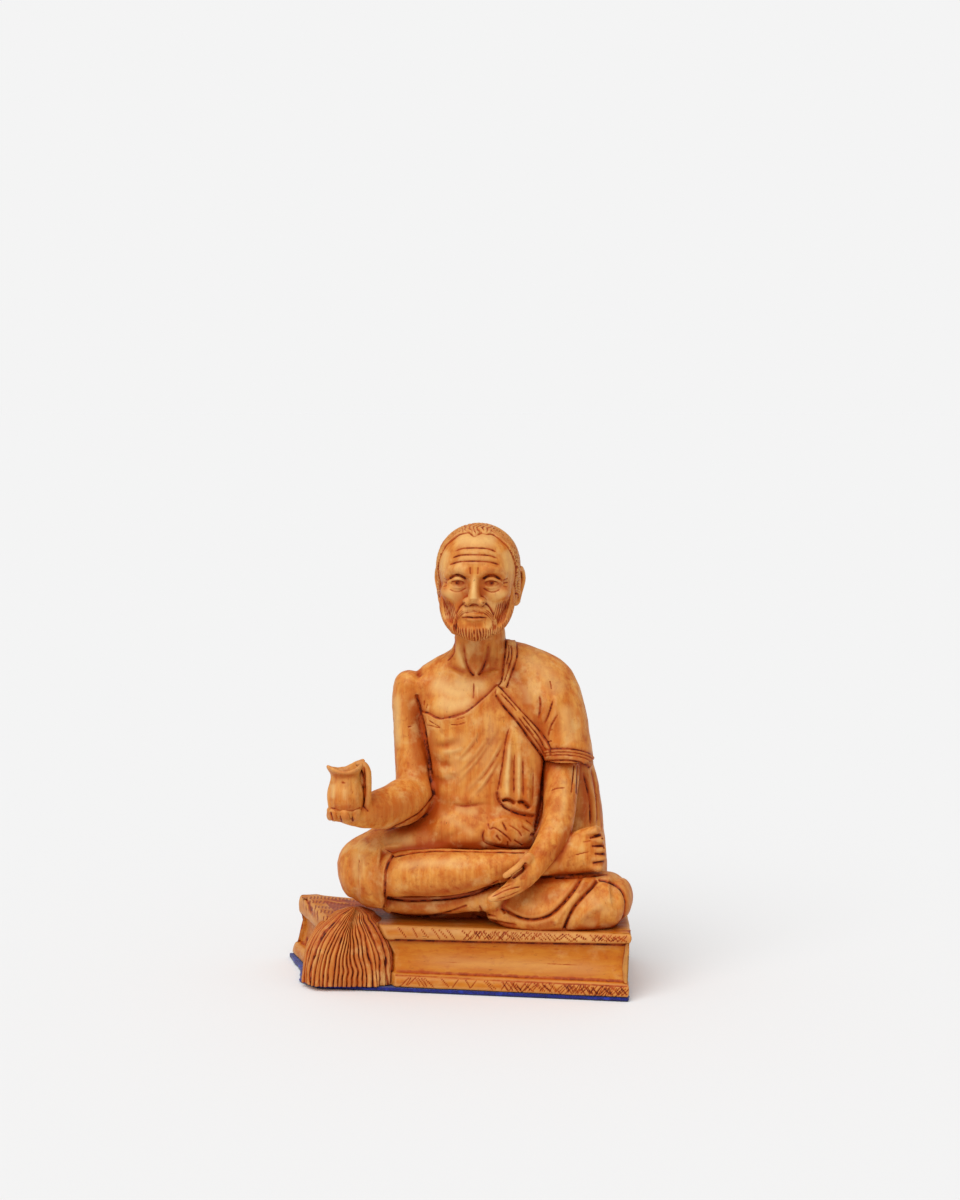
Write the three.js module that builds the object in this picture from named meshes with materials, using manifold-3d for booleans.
// A seated saint, carved with the mat he sits on from one block of wood, and the felt pad
// glued under it. Millimetres, +Z up. While it is modelled, +X is the viewer's right, -Y faces
// the viewer and the neck stands near x = 0; at the end the footprint is centred on the origin.
import * as THREE from "three";
import { LoftGeometry } from "three/addons/geometries/LoftGeometry.js";
import { mergeVertices } from "three/addons/utils/BufferGeometryUtils.js";
import Module from "manifold-3d";

const wasm = await Module();
wasm.setup();

// Driving dimensions
const FELT_TOP = 2.2;
const GLUE_GAP = 0.3;
const MAT_BOTTOM = FELT_TOP + GLUE_GAP;
const MAT_TOP = 34;
const MAT_BORDER = 5.5;
const MAT_WAIST_INSET = 4;
const CHIN = 185;
const CROWN = 243.5;
const HEAD_CENTRE = { x: -1, y: 5 };
const HEAD_TURN = THREE.MathUtils.degToRad(-5);
const BOWL_AXIS = { x: -69, y: -33 };
const BAND_WIDTH = 6.4;
const FOOTPRINT_CENTRE = { x: -13.15, y: 5.55 };

// Corners of the mat and of the felt, seen from above
const MAT_TOP_PLAN = { frontLeft: [-80, -9], frontRight: [78.3, -35.5], backRight: [79.5, 50], backLeft: [-99.8, 50.5] };
const MAT_FOOT_PLAN = { frontLeft: [-83, -9], frontRight: [76.6, -37], backRight: [79, 51], backLeft: [-104.5, 53] };
const FELT_PLAN = { frontLeft: [-92.5, -9], frontRight: [76.4, -39.5], backRight: [79.6, 52], backLeft: [-106.4, 54] };

// Trunk, sleeve and cloak: height, left, right, front, back, squareness
const TRUNK = [
  [30, -36, 52, 0, 46, 2.6],
  [50, -36, 52, -5, 49, 2.6],
  [70, -33, 48, -9, 49, 2.5],
  [85, -31, 44, -12, 46, 2.4],
  [100, -30.5, 41, -10, 43, 2.4],
  [116, -30.5, 42, -9, 42, 2.4],
  [132, -32, 43, -8.5, 42, 2.4],
  [144, -33, 43, -7, 42, 2.4],
  [153, -33.5, 42, -3.5, 41, 2.3],
  [160, -32, 39, 0.5, 39, 2.2],
  [166, -30.5, 32, 4, 36, 2.1],
  [171, -23.5, 24, 5.5, 32, 2],
  [177, -14.4, 15, 4, 29, 2],
  [187, -12.8, 13, 1, 28, 2],
  [202, -11, 11, 3, 26, 2],
];
const SLEEVE = [
  [113, 32, 60, -9.5, 27, 2.3],
  [120, 31, 59.2, -9, 29, 2.3],
  [132, 26, 58, -7, 34, 2.3],
  [143, 22, 56.4, -6, 37, 2.3],
  [152, 18, 54, -4, 38, 2.2],
  [160, 14, 51, -0.5, 37, 2.2],
  [167, 10, 46.5, 3, 35, 2.1],
  [172, 6, 39.5, 6, 32, 2],
  [177, 3, 28, 9, 28, 2],
  [180.5, 6, 16, 12, 24, 2],
];
const CLOAK = [
  [31, 18, 69, 4, 50, 2.4],
  [60, 20, 68.5, 4, 50, 2.4],
  [81, 24, 66.4, 6, 48, 2.3],
  [92, 26, 65.2, 6, 46, 2.3],
  [104, 28, 63.4, 5, 44, 2.2],
  [116, 28, 60, 3, 41, 2.1],
  [128, 30, 56, 3, 38, 2],
];

// Limbs: x, y, z, half-width across, half-depth towards the viewer
const UPPER_ARM = [
  [-37.6, 16, 156.5, 8.2, 10],
  [-38.8, 15.5, 150, 7.8, 10],
  [-38.6, 14, 138, 7.6, 10],
  [-37, 11.5, 126, 8.6, 10],
  [-35.2, 8, 113, 9.6, 11],
  [-34.2, 4, 103, 10.6, 11.5],
];
const FOREARM = [
  [-33.6, 2, 101.5, 11, 10.5],
  [-39, -5, 98.6, 12.2, 11.4],
  [-45, -12, 97, 11.6, 10.5],
  [-53, -20, 96.4, 10, 9.4],
  [-60, -26.5, 96, 8, 8],
  [-67, -30.5, 96, 5.6, 8],
  [-72, -32.4, 96.4, 4, 6.4],
];
const THUMB = [
  [-60.4, -28, 99, 3.8, 3.8],
  [-59.2, -31.6, 107, 3.3, 3.4],
  [-59, -32.8, 115, 3.1, 3.2],
  [-60, -33.4, 121.6, 2.5, 2.8],
];
const BOWL_FINGERS = [[-76.4, -35.8], [-72.6, -39.4], [-67.4, -41], [-62.2, -40]];
const FINGER_RADIUS = 2.7;
const ROBED_ARM = [
  [43, 8, 122, 9, 9],
  [42.2, 2, 112, 8.9, 8.6],
  [41.4, -4, 102, 8, 8],
  [40.2, -11, 91, 7.8, 7.6],
  [37.5, -17, 82, 7.6, 7],
  [33.5, -22, 74.5, 7.2, 6.4],
  [29.5, -26.5, 69, 7, 5.2],
  [25, -29.5, 64, 7, 4.4],
  [17.5, -32, 59.2, 5.9, 3.8],
  [10, -33.5, 56.2, 4.3, 3.2],
  [6, -34.2, 55.4, 2.6, 2.2],
];
const ROBED_THUMB = [
  [30, -27.4, 73, 3.6, 3],
  [22, -33.2, 71.2, 2.8, 2.7],
  [14, -35.4, 68, 2.1, 2.2],
];
const COVERED_KNEE = [
  [-67.6, 2, 61, 13.6, 15],
  [-63, 2.5, 61, 17.4, 19.5],
  [-56, 2, 61.4, 19.6, 21.5],
  [-49.4, 1, 61, 19, 22],
];
const COVERED_THIGH = [
  [-60, 3, 64, 16, 17],
  [-50, 5, 67, 17.5, 19],
  [-38, 8, 69.5, 18, 20.5],
  [-20, 12, 72, 18, 22],
  [0, 16, 71, 18, 24],
];
const SHIN = [
  [-54, -6, 58.5, 11, 10],
  [-44, -12.5, 60.5, 11.6, 11],
  [-35, -15, 62, 12, 11.6],
  [-20, -18.5, 63, 12.3, 12],
  [-8, -20.5, 64.2, 11.2, 11.5],
  [6, -21.5, 66.4, 9, 10],
  [20, -20, 67.6, 7.6, 8.6],
  [40, -14, 68, 7, 7.6],
];
const UNDER_FOLD = [
  [-46, 2, 43.5, 8.2, 9],
  [-35, -2, 42.5, 8.4, 10],
  [-20, -7, 44, 8, 10],
  [-6, -12, 46.4, 7.6, 9],
  [6, -15, 48, 8, 8],
];
const FOOT = [
  [38, -14, 67.5, 6.5, 7],
  [46, -15.5, 70.6, 9.4, 6.6],
  [54, -16, 73.6, 11.4, 6.2],
  [59, -16.4, 75, 12, 5.4],
];
// Toes: how far out each tip reaches and its height, from the little toe up to the great toe
const TOES = [[64.2, 65.6], [65.2, 70.4], [65.4, 75.2], [64.4, 80], [62.4, 84.6]];
const TOE_RADIUS = 2.3;
const CROSSED_KNEE = [
  [73.8, -12.6, 49, 9.6, 13],
  [70, -11.6, 48.4, 13, 18.5],
  [62, -11, 47.4, 14.6, 20.5],
  [50, -9, 47, 14.8, 21.5],
  [36, -4, 47.5, 15, 21.5],
  [18, 4, 49, 14.5, 21],
];
const LAP_APRON = [
  [56, -19.5, 43.5, 11, 11.6],
  [42, -19.4, 42, 10.6, 11],
  [26, -17.6, 40.5, 9.6, 10.4],
  [10, -13.4, 39.4, 7.4, 9],
  [-4, -8, 38, 5.4, 7],
];

// Carved lines, seen from the front: x and z
const COLLAR = [[15.4, 179], [17, 171], [15.4, 162], [10.6, 153.6]];
const CHEST_BAND = [[9.8, 153.6], [18.6, 143.6], [28, 132], [36.5, 121]];
const NECKLINE = [[-30.5, 148.4], [-27, 144.6], [-18, 141], [-8, 142.4], [2.5, 147], [9, 153]];
const SHOULDER_FOLDS = [[[30.6, 154], [29.8, 144], [30, 139.5]], [[37.8, 151.5], [34, 143], [32.4, 138]]];
const PLEATS = [
  [[12.6, 138], [12.4, 120], [12, 104]],
  [[17.6, 141], [18, 121], [18.4, 102]],
  [[24, 134.6], [24.2, 117], [25, 99.6]],
];
const LOWER_HEM = [[6.6, 107], [8.6, 99.6], [16, 95.6], [27, 94]];
const SASH_KNOT = [[[2, 81.4], [9.6, 85], [17, 82.6]], [[9, 78.6], [18, 79.8], [26, 79.2]], [[17, 87], [23.6, 84.6], [28.6, 81.4]]];
const KNEE_OVAL = [[57, 59], [64.5, 59.6], [70.6, 55], [71.6, 47.6], [69.4, 41], [63.6, 37]];
const KNEE_CREASE = [[54.6, 58], [49.6, 51.6], [46.4, 44.6], [44, 38.6]];
const LAP_CREASE = [[48, 59.4], [42, 51], [34, 44], [24, 41.4], [14, 44.6]];
const KNEE_FOLDS = [[[-66.4, 74.4], [-68.6, 66], [-67, 56]], [[-58.6, 77.4], [-60.4, 66], [-59, 54]]];
const CLOAK_FOLDS = [[[51.6, 113], [51.4, 102], [51, 92]], [[56, 113], [58, 100], [59.2, 88]]];

// Turns a closed three.js geometry into a solid that can be joined and cut.
function solid(geometry) {
  const bare = new THREE.BufferGeometry().copy(geometry);
  bare.deleteAttribute("normal");
  bare.deleteAttribute("uv");
  const merged = mergeVertices(bare, 1e-4);
  return new wasm.Manifold(new wasm.Mesh({
    numProp: 3,
    vertProperties: merged.attributes.position.array,
    triVerts: new Uint32Array(merged.index.array),
  }));
}

const join = (solids) => solids.reduce((sum, next) => sum.add(next));

// Pockets shut in between the limbs are filled: only the outer skin is kept.
const outerSkin = (made) => join(made.decompose().filter((body) => body.volume() > 0));

const loft = (rings) => solid(new LoftGeometry(rings, { capStart: true, capEnd: true }));

// Reads a table of stations at t from 0 to 1, on a smooth curve through each of its columns.
function tableAt(rows, t) {
  const place = t * (rows.length - 1);
  const i = Math.min(Math.floor(place), rows.length - 2);
  const f = place - i;
  const row = (k) => rows[THREE.MathUtils.clamp(k, 0, rows.length - 1)];
  return rows[0].map((_, c) => {
    const [before, here, next, after] = [row(i - 1)[c], row(i)[c], row(i + 1)[c], row(i + 2)[c]];
    const leaving = (next - before) / 2;
    const arriving = (after - here) / 2;
    const rise = next - here;
    return here + leaving * f + (3 * rise - 2 * leaving - arriving) * f * f
      + (leaving + arriving - 2 * rise) * f * f * f;
  });
}

const signedPower = (value, exponent) => Math.sign(value) * Math.abs(value) ** exponent;

// A flat ring at one height: an oval made squarer by its exponent.
function levelRing([z, left, right, front, back, square], sides, flute) {
  return Array.from({ length: sides }, (_, k) => {
    const angle = (k / sides) * 2 * Math.PI;
    const out = flute(angle, z);
    return new THREE.Vector3(
      (left + right) / 2 + ((right - left) / 2 + out) * signedPower(Math.cos(angle), 2 / square),
      (front + back) / 2 + ((back - front) / 2 + out) * signedPower(Math.sin(angle), 2 / square),
      z,
    );
  });
}

// A form stacked up from level rings.
function stack(rows, { sides = 24, steps = rows.length, flute = () => 0 } = {}) {
  return loft(Array.from({ length: steps + 1 }, (_, k) => levelRing(tableAt(rows, k / steps), sides, flute)));
}

// A limb: oval rings carried along a smooth path. Both ends are rounded over: each rounding
// ring is a share of the end's size, set out by a share of its radius. An end of less than 1
// is flatter than a half round.
function limb(rows, { sides = 10, steps = rows.length, facing = [0, 1, 0], blunt = false, ends = [1, 1] } = {}) {
  const rounding = blunt ? [[0.75, 0.5]] : [[0.97, 0.25], [0.6, 0.8]];
  const stops = [
    ...rounding.map(([out, size]) => ({ t: 0, out: -out * ends[0], size })),
    ...Array.from({ length: steps + 1 }, (_, k) => ({ t: k / steps, out: 0, size: 1 })),
    ...rounding.toReversed().map(([out, size]) => ({ t: 1, out: out * ends[1], size })),
  ];
  return loft(stops.map(({ t, out, size }) => {
    const [x, y, z, halfWidth, halfDepth] = tableAt(rows, t);
    const ahead = new THREE.Vector3(...tableAt(rows, Math.min(1, t + 0.01)));
    const behind = new THREE.Vector3(...tableAt(rows, Math.max(0, t - 0.01)));
    const along = ahead.sub(behind).normalize();
    const depth = new THREE.Vector3(...facing);
    depth.addScaledVector(along, -depth.dot(along)).normalize();
    const across = new THREE.Vector3().crossVectors(depth, along);
    const centre = new THREE.Vector3(x, y, z).addScaledVector(along, out * Math.min(halfWidth, halfDepth));
    return Array.from({ length: sides }, (_, k) => {
      const angle = (k / sides) * 2 * Math.PI;
      return centre.clone()
        .addScaledVector(across, halfWidth * size * Math.cos(angle))
        .addScaledVector(depth, halfDepth * size * Math.sin(angle));
    });
  }));
}

// Finds where the front skin of a solid lies, for any x and z seen from the front.
function frontSkin(made) {
  const { vertProperties: p, triVerts } = made.getMesh();
  const triangle = new THREE.Triangle();
  const weights = new THREE.Vector3();
  const spot = new THREE.Vector3();
  return (x, z) => {
    let front = Infinity;
    for (let i = 0; i < triVerts.length; i += 3) {
      const corners = [triangle.a, triangle.b, triangle.c];
      corners.forEach((corner, k) => corner.set(p[triVerts[i + k] * 3], p[triVerts[i + k] * 3 + 2], 0));
      if (!triangle.getBarycoord(spot.set(x, z, 0), weights)) continue;
      if (Math.min(weights.x, weights.y, weights.z) < 0) continue;
      const [a, b, c] = [0, 1, 2].map((k) => p[triVerts[i + k] * 3 + 1]);
      front = Math.min(front, a * weights.x + b * weights.y + c * weights.z);
    }
    return front;
  };
}

// A bead that follows x and z points over a front skin: its centre lies `lift` outside the skin.
function bead(points, halfWidth, halfDepth, skin, { lift = 0, sides = 5, steps = 5 } = {}) {
  const flat = points.map(([x, z]) => [x, z]);
  const rows = Array.from({ length: steps + 1 }, (_, k) => {
    const [x, z] = tableAt(flat, k / steps);
    return [x, skin(x, z) - lift, z, halfWidth, halfDepth];
  });
  return limb(rows, { sides, steps, blunt: true });
}

// The outline of the mat or felt at one height: four sides, with each corner turned in three points.
function slabRing(plan, z, inset) {
  const corners = [plan.frontLeft, plan.frontRight, plan.backRight, plan.backLeft]
    .map(([x, y]) => new THREE.Vector3(x, y, z));
  return corners.flatMap((corner, k) => {
    const before = corners[(k + 3) % 4].clone().sub(corner).normalize();
    const after = corners[(k + 1) % 4].clone().sub(corner).normalize();
    const inward = (distance) => corner.clone()
      .addScaledVector(before, distance)
      .addScaledVector(after, distance);
    return [
      inward(inset).addScaledVector(before, 3),
      inward(inset + 0.8),
      inward(inset).addScaledVector(after, 3),
    ];
  });
}

// The mat's outline leans out from its top to its foot.
function matPlan(z) {
  const share = (z - MAT_BOTTOM) / (MAT_TOP - MAT_BOTTOM);
  const between = (name) => [0, 1].map((i) => THREE.MathUtils.lerp(MAT_FOOT_PLAN[name][i], MAT_TOP_PLAN[name][i], share));
  return Object.fromEntries(Object.keys(MAT_TOP_PLAN).map((name) => [name, between(name)]));
}

// The mat: a rolled border above and below, and a hollow waist between them.
function makeMat() {
  const lower = MAT_BOTTOM + MAT_BORDER + 1;
  const upper = MAT_TOP - MAT_BORDER;
  const levels = [
    [MAT_BOTTOM, 1.6], [MAT_BOTTOM + 1.4, 0.6], [lower - 1.4, 0.8], [lower, 2], [lower + 0.6, 3.2],
    [(lower + upper) / 2, MAT_WAIST_INSET], [upper - 0.5, 2.8], [upper, 1.2], [upper + 1.4, 0], [MAT_TOP - 1.2, 0.2], [MAT_TOP, 1.2],
  ];
  const seam = limb([[-96, 58, 34.6, 1.6, 1.6], [-88, 36, 34.6, 1.6, 1.6], [-79, 9, 34.6, 1.6, 1.6]], { sides: 5, steps: 1, blunt: true });
  return loft(levels.map(([z, inset]) => slabRing(matPlan(z), z, inset))).subtract(seam);
}

// The fringed end of the sash over the mat's front corner, cut into strands that spread from one knot.
function makeFringe() {
  const strands = 26;
  const levels = [
    [MAT_BOTTOM + 0.2, -92.6, -46, -17.6, 22, 2.3],
    [12, -90, -46, -18.2, 22, 2.3],
    [23, -87.2, -47, -18, 21, 2.2],
    [31, -84, -49.5, -16, 19, 2.1],
    [37, -78, -53, -12, 14, 2],
    [41, -71, -57, -6.6, 8, 2],
    [43.2, -65, -60.4, -3, 2, 2],
  ];
  return stack(levels, {
    sides: strands * 2,
    steps: levels.length - 1,
    flute: (angle, z) => -1.5 * (Math.round(angle / Math.PI * strands) % 2) * Math.min(1, (46 - z) / 14),
  });
}

const bump = (at, width, value) => Math.exp(-(((value - at) / width) ** 2));

// How far the head stands out from its axis, for a bearing from the face and a height share.
function headReach(bearing, height) {
  const ahead = Math.cos(bearing);
  const aside = Math.sin(bearing);
  const facing = Math.max(0, ahead);
  const fullness = Math.sqrt(Math.max(0, 1 - (Math.abs(height - 0.6) / (height > 0.6 ? 0.402 : 0.78)) ** 2.3));
  const halfWidth = Math.max(0.5, 20.9 * fullness);
  const halfDepth = Math.max(0.5, (ahead > 0 ? 23.5 : 27 * Math.min(1, 0.35 + height * 1.5)) * fullness);
  const skull = 1 / Math.hypot(aside / halfWidth, ahead / halfDepth);
  const bridge = THREE.MathUtils.clamp((height - 0.27) / 0.045, 0, 1) * THREE.MathUtils.clamp((0.6 - height) / 0.28, 0, 1);
  const nose = 6.8 * bridge * bump(0, 0.15, bearing);
  const brow = 1.3 * bump(0.59, 0.05, height) * facing ** 3;
  const eyes = bump(0.38, 0.2, bearing) + bump(-0.38, 0.2, bearing);
  const sockets = (1.5 * bump(0.495, 0.03, height) - 2.8 * bump(0.5, 0.075, height)) * eyes;
  const lips = 1.7 * (bump(0.165, 0.025, height) + bump(0.222, 0.025, height)) * bump(0, 0.34, bearing);
  const beard = 2.8 * bump(0.07, 0.09, height) * bump(0, 0.6, bearing) + 0.8 * bump(0.2, 0.16, height) * bump(0.8, 0.4, Math.abs(bearing));
  const hair = height > 0.44 + 0.42 * facing ? 1.3 : 0;
  return skull + nose + brow + sockets + lips + beard + hair;
}

function makeHead() {
  const heights = [
    0, 0.04, 0.09, 0.13, 0.165, 0.195, 0.222, 0.26, 0.3, 0.34, 0.4, 0.455, 0.5, 0.545,
    0.59, 0.66, 0.75, 0.84, 0.91, 0.965, 1,
  ];
  const sides = 28;
  const rings = heights.map((height) => Array.from({ length: sides }, (_, k) => {
    const share = (k + 0.5) / sides * 2 - 1;
    const bearing = Math.PI * signedPower(share, 1.45);
    const reach = headReach(bearing, height);
    return new THREE.Vector3(
      HEAD_CENTRE.x + reach * Math.sin(bearing + HEAD_TURN),
      HEAD_CENTRE.y - reach * Math.cos(bearing + HEAD_TURN),
      CHIN + (CROWN - CHIN) * height,
    );
  }));
  const ear = (side) => limb([
    [HEAD_CENTRE.x + 0.8 + side * 20.2, 8 + side * 1.6, 203, 1.6, 2],
    [HEAD_CENTRE.x + 0.8 + side * 21.6, 9 + side * 1.6, 208, 2.2, 3.4],
    [HEAD_CENTRE.x + 0.8 + side * 22.2, 9.6 + side * 1.6, 213, 2.4, 4.4],
    [HEAD_CENTRE.x + 0.8 + side * 21.6, 9 + side * 1.6, 217, 2, 3.4],
  ], { sides: 6, steps: 3, blunt: true });
  return join([loft(rings), ear(-1), ear(1)]);
}

// The bowl is turned about its axis, hollow, with a lip that rises at its two sides.
function makeBowl() {
  const outline = [
    [0, 94], [6.6, 95.5], [9.1, 103], [9, 108.5], [7.6, 115], [7.5, 117.4], [9.4, 121.6],
    [8.5, 121.8], [6.5, 118.4], [6.5, 115], [7.4, 109], [5, 104.5], [0, 104],
  ];
  const bowl = new THREE.LatheGeometry(outline.map(([r, z]) => new THREE.Vector2(r, z)), 16);
  bowl.rotateX(Math.PI / 2);
  const place = bowl.attributes.position;
  for (let i = 0; i < place.count; i++) {
    const [x, y, z] = [place.getX(i), place.getY(i), place.getZ(i)];
    const rise = Math.max(0, (z - 116) / 6) * Math.cos(2 * Math.atan2(y, x));
    const wider = 1 + 0.05 * rise;
    place.setXYZ(i, BOWL_AXIS.x + x * wider, BOWL_AXIS.y + y * wider, z + 1.6 * rise);
  }
  return solid(bowl);
}

// Fingers cupped under the bowl, their tips turned up at its front.
function makeBowlFingers() {
  return BOWL_FINGERS.map(([x, y]) => limb([
    [x * 0.5 - 34.5, -31, 94.8, FINGER_RADIUS, FINGER_RADIUS],
    [x, y + 3, 94.6, FINGER_RADIUS, FINGER_RADIUS],
    [x, y + 0.6, 96.6, FINGER_RADIUS, FINGER_RADIUS],
    [x, y + 0.4, 99, FINGER_RADIUS - 0.4, FINGER_RADIUS - 0.4],
  ], { sides: 5, steps: 3, facing: [1, 0, 0], blunt: true }));
}

function makeToes() {
  return TOES.map(([tip, z]) => limb([
    [55, -17, z * 0.8 + 14.8, TOE_RADIUS, TOE_RADIUS + 1.6],
    [60, -18.4, z, TOE_RADIUS, TOE_RADIUS + 1.2],
    [tip - TOE_RADIUS, -18, z, TOE_RADIUS, TOE_RADIUS + 0.4],
  ], { sides: 5, steps: 2, blunt: true }));
}

// The sleeve's hem: a flat band round the upper arm.
function makeSleeveHem() {
  const level = (z, out) => [z, 31.6 - out, 59.4 + out, -9.5 - out, 27 + out, 2.3];
  return stack([level(113.2, -0.6), level(113.8, 0.8), level(119.4, 0.6), level(120.2, -0.6)], { sides: 12, steps: 3 });
}

// The main forms of the figure, before its cloth is marked.
function makeForms() {
  return outerSkin(join([
    stack(TRUNK, { sides: 18, steps: 13 }),
    stack(SLEEVE, { sides: 16, steps: 9 }),
    stack(CLOAK, { sides: 14, steps: 5 }),
    limb(UPPER_ARM, { sides: 12, steps: 6 }),
    limb(FOREARM, { sides: 12, steps: 7 }),
    limb(ROBED_ARM, { sides: 10, steps: 10 }),
    limb(COVERED_KNEE, { sides: 16, steps: 4, ends: [0.5, 0.1] }),
    limb(COVERED_THIGH, { sides: 14, steps: 4 }),
    limb(SHIN, { sides: 12, steps: 7 }),
    limb(UNDER_FOLD, { sides: 9, steps: 4 }),
    limb(FOOT, { sides: 10, steps: 3 }),
    limb(CROSSED_KNEE, { sides: 14, steps: 6, ends: [0.6, 1] }),
    limb(LAP_APRON, { sides: 10, steps: 4 }),
  ]));
}

// Cloth and hands that stand on the main forms.
function makeRaised(skin) {
  const half = BAND_WIDTH / 2;
  return [
    limb(THUMB, { sides: 7, steps: 4 }),
    limb(ROBED_THUMB, { sides: 7, steps: 3 }),
    ...makeToes(),
    ...makeBowlFingers(),
    makeSleeveHem(),
    bead(COLLAR, half * 0.85, 1.9, skin, { lift: 0, sides: 6 }),
    bead(CHEST_BAND, half, 2, skin, { lift: 0.2, sides: 6 }),
    ...PLEATS.map((points) => bead(points, 3, 2.4, skin, { sides: 5, steps: 2 })),
    bead(LOWER_HEM, 1.5, 1.4, skin, { lift: 0.2, steps: 4 }),
    ...SASH_KNOT.map((points) => bead(points, 3.4, 2.6, skin, { sides: 5, steps: 2 })),
  ];
}

// Grooves cut into the main forms.
function makeCuts(skin) {
  const groove = (points, width, depth) => bead(points, width / 2, depth, skin, { sides: 3, steps: 4 });
  return [
    groove(NECKLINE, 1.8, 1.2),
    ...SHOULDER_FOLDS.map((points) => groove(points, 2, 1.2)),
    groove(KNEE_OVAL, 2.4, 1.8),
    groove(KNEE_CREASE, 3, 2.4),
    groove(LAP_CREASE, 3, 2.6),
    ...KNEE_FOLDS.map((points) => groove(points, 2.2, 1)),
    ...CLOAK_FOLDS.map((points) => groove(points, 2, 1.8)),
  ];
}

const forms = makeForms();
const skin = frontSkin(forms);
const marked = makeCuts(skin).reduce((left, cut) => left.subtract(cut), join([forms, ...makeRaised(skin)]));
const statueSolid = outerSkin(join([marked, makeHead(), makeFringe(), makeMat(), makeBowl()]));

const feltSolid = loft([0, FELT_TOP].map((z) => slabRing(FELT_PLAN, z, 0)));

// Turns a finished solid into a named mesh, moved so that its footprint is centred.
function asMesh(name, made, colour, roughness) {
  const { numProp, vertProperties, triVerts } = made.getMesh();
  const geometry = new THREE.BufferGeometry();
  const buffer = new THREE.InterleavedBuffer(vertProperties, numProp);
  geometry.setAttribute("position", new THREE.InterleavedBufferAttribute(buffer, 3, 0));
  geometry.setIndex(new THREE.BufferAttribute(triVerts, 1));
  const mesh = new THREE.Mesh(geometry, new THREE.MeshStandardMaterial({ color: colour, roughness, metalness: 0 }));
  mesh.name = name;
  mesh.position.set(-FOOTPRINT_CENTRE.x, -FOOTPRINT_CENTRE.y, 0);
  return mesh;
}

const statue = new THREE.Group();
statue.add(asMesh("saint_and_mat", statueSolid, 0xd9924f, 0.5));
statue.add(asMesh("felt_pad", feltSolid, 0x2338b8, 0.95));
export default statue;
